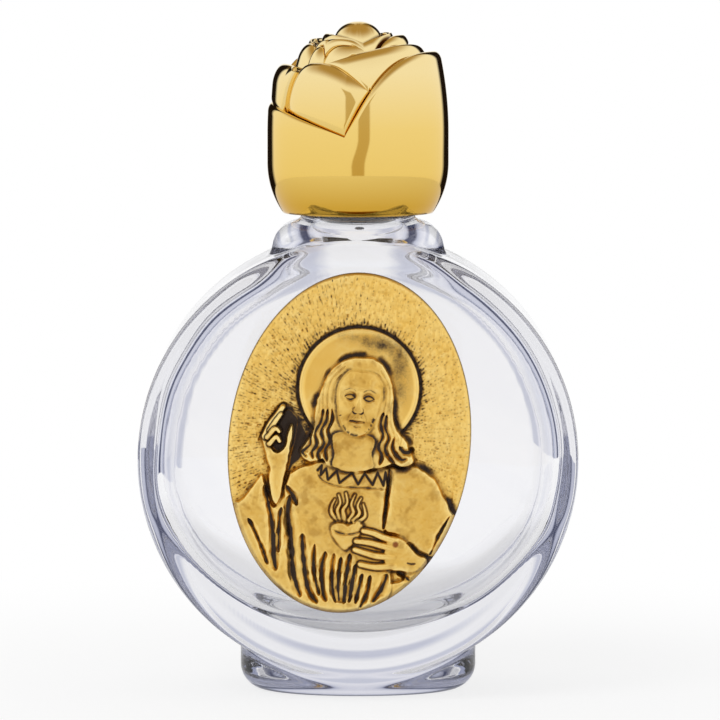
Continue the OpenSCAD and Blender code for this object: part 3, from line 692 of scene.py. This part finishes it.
for s in (-1, 1):
    lid = beside(s, [(0.42, EYES - 0.05), (0.65, EYES + 0.16), (0.95, EYES + 0.23), (1.27, EYES + 0.13),
                     (1.46, EYES - 0.04)])
    under = beside(s, [(0.5, EYES - 0.1), (0.75, EYES - 0.22), (1.05, EYES - 0.24), (1.38, EYES - 0.1)])
    brow = beside(s, [(0.36, BROW - 0.1), (0.9, BROW + 0.16), (1.55, BROW - 0.12)])
    nostril = beside(s, [(0.1, NOSE - 0.02), (0.3, NOSE - 0.06), (0.52, NOSE + 0.1)])
    wing = beside(s, [(0.5, NOSE + 0.2), (0.52, NOSE + 0.4), (0.38, NOSE + 0.55)])
    cheek = beside(s, [(0.62, NOSE + 0.05), (0.85, NOSE - 0.4), (0.95, NOSE - 0.8)])
    form(lid + under[::-1], 0.76, crown=0.1, soft=0.14, dark=0.0, line=0.05)
    groove(lid, 0.13, depth=0.1)
    groove(under, 0.08, depth=0.06, dark=0.8)
    groove([(a, b + 0.22) for a, b in lid[:-1]], 0.06, depth=0.05, dark=0.5)
    groove(brow, 0.09, depth=0.04, dark=0.55)
    groove(nostril, 0.1, depth=0.08, dark=0.9)
    groove(wing, 0.06, depth=0.05, dark=0.5)
    groove(cheek, 0.07, depth=0.05, dark=0.35)
lips = beside(1, [(-0.74, MOUTH - 0.02), (-0.3, MOUTH + 0.03), (0, MOUTH - 0.03), (0.3, MOUTH + 0.03),
                  (0.74, MOUTH - 0.02)])
groove(lips, 0.12, depth=0.1)
groove(beside(1, [(-0.4, MOUTH - 0.5), (0, MOUTH - 0.56), (0.4, MOUTH - 0.5)]), 0.09, depth=0.07, dark=0.6)
jaw = np.hypot(fx / 1.75, (py - 2.75) / 2.0)
upper_lip = 0.8 * bump_at(FACE_X, MOUTH + 0.45, 0.75, 0.16) * (np.abs(fx) > 0.12)
beard = ease((jaw - 0.72) / 0.2) * (py < 2.9) + upper_lip
beard = np.clip(beard, 0, 1) * skin
hairs = ease((grain(np.arctan2(py - 3.4, fx) * 16 + 90, np.hypot(fx, py - 3.4) * 1.6, 17) - 0.45) / 0.25)
relief += (0.05 - 0.1 * hairs) * beard
patina = np.maximum(patina, 0.8 * hairs * beard)

# Raised hand over its dark hollow, with two fingers up and two folded.
HAND_HOLLOW = [(-7.35, 1.6), (-6.9, 2.4), (-6.2, 2.7), (-5.4, 1.9), (-5.3, 0.6), (-5.55, -1.0), (-6.3, -1.4),
               (-7.15, -1.5), (-7.6, -1.0), (-7.3, -0.3), (-7.1, 0.3), (-7.45, 1.0)]
FOREARM = [(-8.7, -0.25), (-8.4, -1.35), (-7.9, -2.7), (-7.6, -3.3), (-7.65, -4.2), (-7.25, -5.8),
           (-6.65, -6.8), (-6.2, -6.3), (-6.0, -4.5), (-5.87, -2.9), (-5.7, -1.0), (-5.6, 0.35), (-5.7, 1.2),
           (-6.0, 1.3), (-6.25, 0.4), (-6.35, -0.7), (-6.85, -1.45), (-7.45, -1.3), (-7.95, -0.6),
           (-8.35, 0.15)]
RAISED_FINGERS = [
    ([(-8.35, -0.1), (-7.9, 1.2), (-7.4, 2.05), (-6.95, 2.95)], 0.36),
    ([(-7.95, 0.5), (-7.5, 1.45), (-7.05, 2.25)], 0.27),
    ([(-8.1, -0.2), (-7.5, 0.75), (-7.05, 0.5)], 0.28),
    ([(-7.85, -0.8), (-7.3, -0.05), (-6.9, -0.45)], 0.28),
]
d = form(HAND_HOLLOW, -0.05, crown=0, dark=0.9, line=0.3)
patina = np.maximum(patina, 0.96 * ease(d / 0.2 + 0.3))
form(FOREARM, 0.62, dark=0.7)
for points, width in RAISED_FINGERS:
    ridge_line(points, width, 0.78, tip=0.7)

# Heart with its flames, and the other hand laid beside it.
HEART = [(-0.9, -8.45), (-0.75, -9.1), (-0.2, -9.85), (0.65, -10.5), (1.4, -9.9), (2.0, -9.0), (2.3, -8.1),
         (1.9, -7.6), (1.25, -7.65), (0.75, -8.05), (0.2, -7.75), (-0.45, -7.8)]
FLAMES = [
    ([(-0.3, -7.6), (-0.95, -7.0), (-1.05, -6.3), (-0.8, -5.6)], 0.26),
    ([(0.0, -7.5), (-0.45, -6.7), (-0.25, -5.9), (-0.5, -5.1)], 0.27),
    ([(0.4, -7.5), (0.1, -6.6), (0.45, -5.8), (0.2, -4.85)], 0.28),
    ([(0.85, -7.5), (1.15, -6.7), (0.85, -5.9), (1.1, -4.95)], 0.27),
    ([(1.3, -7.5), (1.75, -6.7), (1.5, -6.0), (1.75, -5.2)], 0.26),
    ([(1.7, -7.6), (2.3, -7.0), (2.25, -6.4), (2.0, -5.75)], 0.24),
]
PALM = [(4.8, -8.6), (5.9, -8.6), (6.8, -9.1), (7.8, -10.0), (8.8, -10.4), (8.9, -11.2), (7.6, -12.05),
        (6.4, -12.1), (5.2, -12.0), (4.6, -11.0), (4.6, -9.6)]
FINGERS = [
    [(5.6, -9.1), (4.25, -8.8), (3.3, -8.5), (2.35, -8.4)],
    [(5.6, -9.85), (4.1, -9.65), (3.0, -9.5), (1.75, -9.5)],
    [(5.6, -10.7), (4.0, -10.75), (2.9, -10.6), (1.7, -10.35)],
    [(5.8, -11.5), (4.4, -11.8), (3.5, -11.85), (2.4, -11.75)],
]
for points, width in FLAMES:
    ridge_line(points, width, 0.74, tip=0.3, dark=0.8)
form(HEART, 0.7, crown=0.2, dark=0.7, line=0.14)
groove([(-0.75, -8.6), (0.05, -8.85), (1.1, -8.85), (2.05, -8.5)], 0.1, depth=0.12, dark=0.7)
form(PALM, 0.7, crown=0.14, dark=0.85)
for points in FINGERS:
    ridge_line(points, 0.38, 0.84, tip=0.75, root=0.12)
groove([(7.0, -11.1), (7.4, -11.15), (7.8, -11.1)], 0.1, depth=0.1, dark=0.9)

# Edge: rounded off all round, and darker towards the rim, which is painted shade on the plaque's side. The
# raised parts keep the slight unevenness of the cast.
inset = np.clip(-off_oval(px, py, PLAQUE_W, PLAQUE_H), 0, 9)
raised = ease((relief - 0.2) / 0.2)
uneven = 0.07 * (grain(px * 0.6 + 20, py * 0.6 + 20, 41) - 0.5)
relief += raised * (uneven + 0.04 * (grain(px * 1.7, py * 1.7, 42) - 0.5))
relief += raised * 0.018 * (grain(px * 5.5, py * 5.5, 43) - 0.5)
relief *= ease(inset / 0.6)
roundoff = PLAQUE_EDGE - np.sqrt(np.clip(PLAQUE_EDGE**2 - np.maximum(PLAQUE_EDGE - inset, 0) ** 2, 0, 1))
height = GROUND + np.clip(relief, -0.4, 1.0) - roundoff
# Painted shade: a band of patina along the rim.
patina = np.clip(np.maximum(patina, 0.45 * (1 - ease(inset / 0.22))), 0, 1)


def blurred(field, cells):
    # Mean over a square of the grid, taken three times, which comes near a soft round one.
    for axis in (0, 1, 0, 1, 0, 1):
        width = [(cells + 1, cells) if k == axis else (0, 0) for k in (0, 1)]
        total = np.cumsum(np.pad(field, width, mode="edge"), axis)
        reach_on = np.take(total, np.arange(2 * cells + 1, total.shape[axis]), axis)
        field = (reach_on - np.take(total, np.arange(field.shape[axis]), axis)) / (2 * cells + 1)
    return field


# Painted highlight on the places that stand proud, partly polishing wear; painted shade in the low places;
# and a thin brown glaze round the patina and in clouds.
proud = height - blurred(height, 5)
cloud = 0.4 * grain(px * 0.7 + py * 0.35, py * 0.75 - px * 0.3, 44)
cloud = cloud + 0.35 * grain(px * 1.5 - py * 0.9, py * 1.6 + px, 46)
cloud = cloud + 0.25 * grain(px * 3.4 + py * 1.3, py * 3.2 - px * 1.5, 45)
# Darker in the low places and lighter on the proud ones: painted shade and highlight, on top of the glaze.
glaze = 0.9 * blurred(patina, 3) + 2.6 * np.maximum(-proud, 0) - 1.5 * np.maximum(proud, 0)
glaze = np.clip(glaze + raised * (0.14 + 0.36 * ease((cloud - 0.5) / 0.3)), 0, 1)
# Lighter where the relief stands proud: painted highlight, partly wear, with random clouds.
polish = np.clip(3.2 * proud + 0.25 * ease((0.42 - cloud) / 0.2), 0, 1)

PLAQUE_X, PLAQUE_Y, PLAQUE_Z, LEAN = -0.85, -10.2, 26.15, math.radians(6.4)


def on_panel(x, y, out):
    # Points of the leaning plaque, at a height above its back.
    return np.stack([PLAQUE_X + x * math.cos(LEAN) + y * math.sin(LEAN), PLAQUE_Y - out,
                     PLAQUE_Z - x * math.sin(LEAN) + y * math.cos(LEAN)], -1)


front = on_panel(px, py, height).reshape(-1, 3)
index = np.arange(ROWS * COLS).reshape(ROWS, COLS)
quads = np.stack([index[:-1, :-1], index[:-1, 1:], index[1:, 1:], index[1:, :-1]], -1)
quads = quads.reshape(-1, 4).tolist()
border = np.concatenate([index[0, :-1], index[:-1, -1], index[-1, :0:-1], index[:0:-1, 0]])
rim_x, rim_y = px.reshape(-1)[border], py.reshape(-1)[border]
back = on_panel(rim_x, rim_y, 0 * rim_x)
first = len(front)
count = len(border)
for k in range(count):
    n = (k + 1) % count
    quads.append((int(border[n]), int(border[k]), first + k, first + n))
quads.append(tuple(range(first, first + count))[::-1])
plaque = skinned("plaque_relief", np.concatenate([front, back]), quads)
plaque.data.polygons[-1].use_smooth = False
# The side wall gets fixed patina and glaze values: painted shade on the plaque's side.
for name, field, wall in (("patina", patina, 0.4), ("glaze", glaze, 0.6), ("polish", polish, 0.0)):
    layer = plaque.data.attributes.new(name, "FLOAT", "POINT")
    layer.data.foreach_set("value", np.concatenate([field.reshape(-1), np.full(count, wall)]))

# Antique gold: satin plated metal, with painted highlight where it stands proud, partly wear, and brown
# under a thin glaze and painted shade in the low places, with matt brown-black patina left in the recesses
# and one reddish speck where the plating failed on the laid hand.
antique, tree, shader, place = new_material("antique_gold_plate")
# The patina attribute also carries painted shade at the rim and a painted dark reflection on the halo.
dark = add(tree, "ShaderNodeAttribute", {"attribute_name": "patina"})
speck = add(tree, "ShaderNodeTexNoise", {"in:Scale": 1 / (0.22 * MM), "in:Detail": 3.0},
            {"Vector": place})
broken = add(tree, "ShaderNodeMath", {"operation": "MULTIPLY_ADD", "in:1": 0.5, "in:2": -0.25},
             {"0": speck.outputs["Fac"]})
total = add(tree, "ShaderNodeMath", {"operation": "ADD"},
            {"0": dark.outputs["Fac"], "1": broken.outputs["Value"]})
share = add(tree, "ShaderNodeMapRange", {"interpolation_type": "SMOOTHSTEP", "in:1": 0.12, "in:2": 0.85},
            {"0": total.outputs["Value"]})
mottle = add(tree, "ShaderNodeTexNoise", {"in:Scale": 1 / (2.5 * MM), "in:Detail": 4.0},
             {"Vector": place})
plating = add(tree, "ShaderNodeMix",
              {"data_type": "RGBA", "in:6": linear("#FFDD86"), "in:7": linear("#EFBC50")},
              {"0": mottle.outputs["Fac"]})
# Painted highlight on the proud places, partly wear.
highlight_attr = add(tree, "ShaderNodeAttribute", {"attribute_name": "polish"})
highlighted = add(tree, "ShaderNodeMix", {"data_type": "RGBA", "in:7": linear("#FFE498")},
             {"0": highlight_attr.outputs["Fac"], "6": plating.outputs[2]})
# Painted shade in the low places, with the glaze round the patina and in clouds.
glaze_shade_attr = add(tree, "ShaderNodeAttribute", {"attribute_name": "glaze"})
glazed_and_shaded = add(tree, "ShaderNodeMix", {"data_type": "RGBA", "in:7": linear("#9A6410")},
            {"0": glaze_shade_attr.outputs["Fac"], "6": highlighted.outputs[2]})
colour = add(tree, "ShaderNodeMix", {"data_type": "RGBA", "in:7": linear("#2A190B")},
             {"0": share.outputs["Result"], "6": glazed_and_shaded.outputs[2]})
SPECK_AT, SPECK_R, SPECK_EDGE = (5.65, -9.4, 1.75), 0.22, 0.4
speck_at = on_panel(*SPECK_AT) * MM
rust = add(tree, "ShaderNodeVectorMath", {"operation": "DISTANCE", "in:1": speck_at.tolist()},
           {"0": place})
spot = add(tree, "ShaderNodeMapRange",
           {"in:1": SPECK_R * MM, "in:2": SPECK_EDGE * MM, "in:3": 0.85, "in:4": 0.0},
           {"0": rust.outputs["Value"]})
colour = add(tree, "ShaderNodeMix", {"data_type": "RGBA", "in:7": linear("#7E3020")},
             {"0": spot.outputs["Result"], "6": colour.outputs[2]})
metal = add(tree, "ShaderNodeMapRange", {"in:3": 1.0, "in:4": 0.1}, {"0": share.outputs["Result"]})
rough = add(tree, "ShaderNodeMapRange", {"in:3": 0.3, "in:4": 0.7}, {"0": share.outputs["Result"]})
tree.links.new(colour.outputs[2], shader.inputs["Base Color"])
tree.links.new(metal.outputs["Result"], shader.inputs["Metallic"])
tree.links.new(rough.outputs["Result"], shader.inputs["Roughness"])
dress(plaque, antique, "bottle", "antique_gold", "plaque")

# Adhesive pad: a thin layer of cured glue between the plaque's back and the glass, a little smaller than
# the plaque. It is cloudy and off-white, in soft patches, and shows only through the glass.
pad, tree, shader, place = new_material("cloudy_adhesive", {"Roughness": 0.6})
cloud = add(tree, "ShaderNodeTexNoise", {"in:Scale": 1 / (1.5 * MM), "in:Detail": 3.0},
            {"Vector": place})
tint = add(tree, "ShaderNodeMix",
           {"data_type": "RGBA", "in:6": linear("#F4F2EA"), "in:7": linear("#E2DFD4")},
           {"0": cloud.outputs["Fac"]})
tree.links.new(tint.outputs[2], shader.inputs["Base Color"])
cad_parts["plaque_adhesive"].material_slots[0].material = pad

# Stage: a sheet of white paper in a white studio, with one soft lamp high on the left. Dark flags either
# side of the backdrop draw the metal's edges, and the cap also shows a warm ceiling and a card in front.
FLOOR_R = 0.22
bpy.ops.mesh.primitive_circle_add(vertices=160, radius=FLOOR_R, fill_type="NGON")
floor = bpy.context.object
floor.name = "floor"
# Paper: matt and white to the eye, a little darker close to the bottle, and dimmer in the polished metal.
paper, tree, shader, place = new_material("white_paper", {
    "Base Color": linear("#F3F3F3"), "Roughness": 0.9})
path = add(tree, "ShaderNodeLightPath")
away = add(tree, "ShaderNodeVectorMath", {"operation": "LENGTH"}, {"0": place})


def lit_from(ray, near, far, shade):
    # Paper that glows white to one kind of ray, down to its own shade next to the bottle.
    fade = add(tree, "ShaderNodeMapRange",
               {"interpolation_type": "SMOOTHSTEP", "in:1": near, "in:2": far, "in:3": shade},
               {"0": away.outputs["Value"]})
    return add(tree, "ShaderNodeMath", {"operation": "MULTIPLY"},
               {"0": path.outputs[ray], "1": fade.outputs["Result"]})


seen = lit_from("Is Camera Ray", 30 * MM, 90 * MM, 0.8)
through = lit_from("Is Transmission Ray", 30 * MM, 100 * MM, 0.2)
dimmed = add(tree, "ShaderNodeMath", {"operation": "MULTIPLY", "in:1": 0.4},
             {"0": path.outputs["Is Glossy Ray"]})
mirrored = add(tree, "ShaderNodeMath", {"operation": "MAXIMUM"},
               {"0": dimmed.outputs["Value"], "1": through.outputs["Value"]})
glow = add(tree, "ShaderNodeMath", {"operation": "MAXIMUM"},
           {"0": mirrored.outputs["Value"], "1": seen.outputs["Value"]})
white = add(tree, "ShaderNodeEmission", {"in:Color": linear("#FFFFFF"), "in:Strength": 1.0})
lifted = add(tree, "ShaderNodeMixShader", {},
             {"0": glow.outputs["Value"], "1": shader.outputs[0], "2": white.outputs[0]})
tree.links.new(lifted.outputs[0], tree.nodes["Material Output"].inputs["Surface"])
floor.data.materials.append(paper)

# Studio: white to the camera, pale grey as soft light, with the flags in the metal and cool tones of the
# room in the glass. Its tones go by degrees away from straight behind the bottle: level ones for the metal,
# and by any direction for what the glass bends into view.
SIDE_FLAGS = [(0, "#FFFFFF"), (9, "#FFFFFF"), (13, "#1C1512"), (38, "#1C1512"), (46, "#FFFFFF")]
FRONT_CARD = [(171, "#FFFFFF"), (173, "#D2C19A")]
THROUGH_GLASS = [
    (0, "#FFFFFF"), (9, "#FFFFFF"), (13, "#D2D5E2"), (17, "#D2D5E2"), (21, "#F0F0F6"), (32, "#D8DAE6"),
    (37, "#B4B8CC"), (42, "#343B5C"), (56, "#343B5C"), (61, "#C8CAD8"), (84, "#D0D2E0"), (90, "#A2A8C0"),
    (118, "#A2A8C0"), (126, "#C8CAD8"), (150, "#D8DAE6"),
]
# Where the card ends and the ceiling starts, by the rise of a direction: 0 is level and 1 straight up.
CARD_TOP, CARD_END = 0.30, 0.40
CEILING_FROM, CEILING_FULL = 0.5, 0.97
world = bpy.data.worlds.new("studio")
bpy.context.scene.world = world
world.use_nodes = True
tree = world.node_tree
direction = add(tree, "ShaderNodeTexCoord").outputs["Generated"]
level = add(tree, "ShaderNodeVectorMath", {"operation": "MULTIPLY", "in:1": (1, 1, 0)}, {"0": direction})
heading = add(tree, "ShaderNodeVectorMath", {"operation": "NORMALIZE"}, {"0": level.outputs["Vector"]})


def tones(way, stops):
    # Colour by degrees between a direction and straight behind the bottle.
    behind = add(tree, "ShaderNodeVectorMath", {"operation": "DOT_PRODUCT", "in:1": (0, 1, 0)}, {"0": way})
    angle = add(tree, "ShaderNodeMath", {"operation": "ARCCOSINE"}, {"0": behind.outputs["Value"]})
    share = add(tree, "ShaderNodeMath", {"operation": "DIVIDE", "in:1": math.pi},
                {"0": angle.outputs["Value"]})
    shares = [(degrees / 180, code) for degrees, code in stops]
    ramp = add(tree, "ShaderNodeValToRGB", {"stops": shares}, {"Fac": share.outputs["Value"]})
    return ramp.outputs["Color"]


flags = tones(heading.outputs["Vector"], SIDE_FLAGS)
card = tones(heading.outputs["Vector"], SIDE_FLAGS + FRONT_CARD)
clear = tones(direction, THROUGH_GLASS)
axes = add(tree, "ShaderNodeSeparateXYZ", {}, {"0": direction})
ceiling = add(tree, "ShaderNodeMapRange",
              {"interpolation_type": "SMOOTHSTEP", "in:1": CEILING_FROM, "in:2": CEILING_FULL},
              {"0": axes.outputs["Z"]})
low = add(tree, "ShaderNodeMapRange",
          {"interpolation_type": "SMOOTHSTEP", "in:1": CARD_TOP, "in:2": CARD_END, "in:3": 1.0, "in:4": 0.0},
          {"0": axes.outputs["Z"]})
room = add(tree, "ShaderNodeMix", {"data_type": "RGBA"},
           {"0": low.outputs["Result"], "6": flags, "7": card})
roofed = add(tree, "ShaderNodeMix", {"data_type": "RGBA", "in:7": linear("#B4965C")},
             {"0": ceiling.outputs["Result"], "6": room.outputs[2]})
path = add(tree, "ShaderNodeLightPath")
mirrored = add(tree, "ShaderNodeMix", {"data_type": "RGBA", "in:6": linear("#DDDDDD")},
               {"0": path.outputs["Is Glossy Ray"], "7": roofed.outputs[2]})
surround = add(tree, "ShaderNodeMix", {"data_type": "RGBA"},
               {"0": path.outputs["Is Transmission Ray"], "6": mirrored.outputs[2], "7": clear})
seen = add(tree, "ShaderNodeMix", {"data_type": "RGBA", "in:7": linear("#FFFFFF")},
           {"0": path.outputs["Is Camera Ray"], "6": surround.outputs[2]})
tree.links.new(seen.outputs[2], tree.nodes["Background"].inputs["Color"])

# Lamp: a round soft box that only lights the bottle and doesn't show in it.
key = bpy.data.lights.new("soft_lamp", "AREA")
key.shape = "DISK"
key.size = 0.5
key.energy = 2.6
lamp = bpy.data.objects.new("soft_lamp", key)
lamp.location = (-0.45, -0.5, 0.75)
lamp.rotation_euler = (Vector((0, 0, 0.03)) - Vector(lamp.location)).to_track_quat("-Z", "Y").to_euler()
lamp.visible_camera = False
lamp.visible_glossy = False
lamp.visible_transmission = False
bpy.context.collection.objects.link(lamp)

# Camera: at the photograph's angle, a little above the bottle's middle. Light may bounce more often than
# by default, because the glass edge and the chamber inside it need it.
AIM = Vector((0.0002, 0.0, 0.0334))
DISTANCE, ELEVATION = 0.55, math.radians(5.6)
VIEW_W, FILM_W = 0.07265, 36.0
camera = bpy.data.cameras.new("camera")
viewpoint = bpy.data.objects.new("camera", camera)
bpy.context.collection.objects.link(viewpoint)
viewpoint.location = AIM + DISTANCE * Vector((0, -math.cos(ELEVATION), math.sin(ELEVATION)))
viewpoint.rotation_euler = (AIM - viewpoint.location).to_track_quat("-Z", "Y").to_euler()
camera.sensor_width = FILM_W
camera.lens = FILM_W * DISTANCE / VIEW_W
camera.clip_end = 20
bpy.context.scene.camera = viewpoint
bpy.context.scene.view_settings.view_transform = "Standard"
bpy.context.scene.cycles.max_bounces = 32
bpy.context.scene.cycles.glossy_bounces = 14
bpy.context.scene.cycles.transmission_bounces = 32
